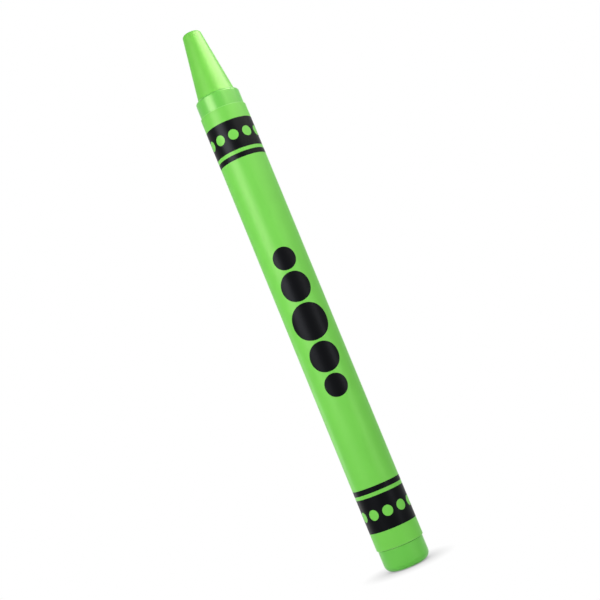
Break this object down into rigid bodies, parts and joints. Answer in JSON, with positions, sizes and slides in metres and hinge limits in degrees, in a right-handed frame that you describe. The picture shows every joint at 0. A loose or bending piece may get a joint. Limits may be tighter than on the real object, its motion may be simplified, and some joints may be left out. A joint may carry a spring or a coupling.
{
  "type": "twist crayon",
  "caption": "Twist-up crayon: a wax stick with a conical tip in a label-wrapped barrel, driven in and out by a screw when the end knob turns.",
  "frame": {"origin": "centre of the knob's flat base, on the crayon's axis", "axes": "+Z along the axis from the knob to the tip; the label's column of dots faces -Y"},
  "size_m": [0.0122, 0.0122, 0.1415],
  "materials": {
    "green_wax": "smooth waxy, satin",
    "green_plastic": "satin moulded",
    "label_paper": "coated paper",
    "black_ink": "matte print",
    "white_plastic": "natural moulded",
    "black_rubber": "matte"
  },
  "bodies": {
    "body": {"barrel": "green_plastic", "nose_collar": "green_plastic", "label": "label_paper", "ink_band_lower": "black_ink", "ink_band_upper": "black_ink", "ink_dots": "black_ink", "guide_sleeve": "white_plastic"},
    "knob": {"twist_knob": "green_plastic", "drag_ring": "black_rubber", "drive_screw": "white_plastic"},
    "carriage": {"drive_nut": "white_plastic", "push_tube": "white_plastic", "crayon_cup": "white_plastic", "crayon_stick": "green_wax"}
  },
  "joints": [
    {"name": "carriage_slide", "type": "slide", "parent": "body", "child": "carriage", "axis": [0, 0, 1], "range_m": [-0.0185, 0.0268]},
    {"name": "knob_twist", "type": "hinge", "parent": "body", "child": "knob", "pos_m": [0, 0, 0], "axis": [0, 0, 1], "range_deg": [-1116, 1614]}
  ],
  "couplings": [
    {"joint": "knob_twist", "follows": "carriage_slide", "rad_per_m": 1047.2}
  ]
}
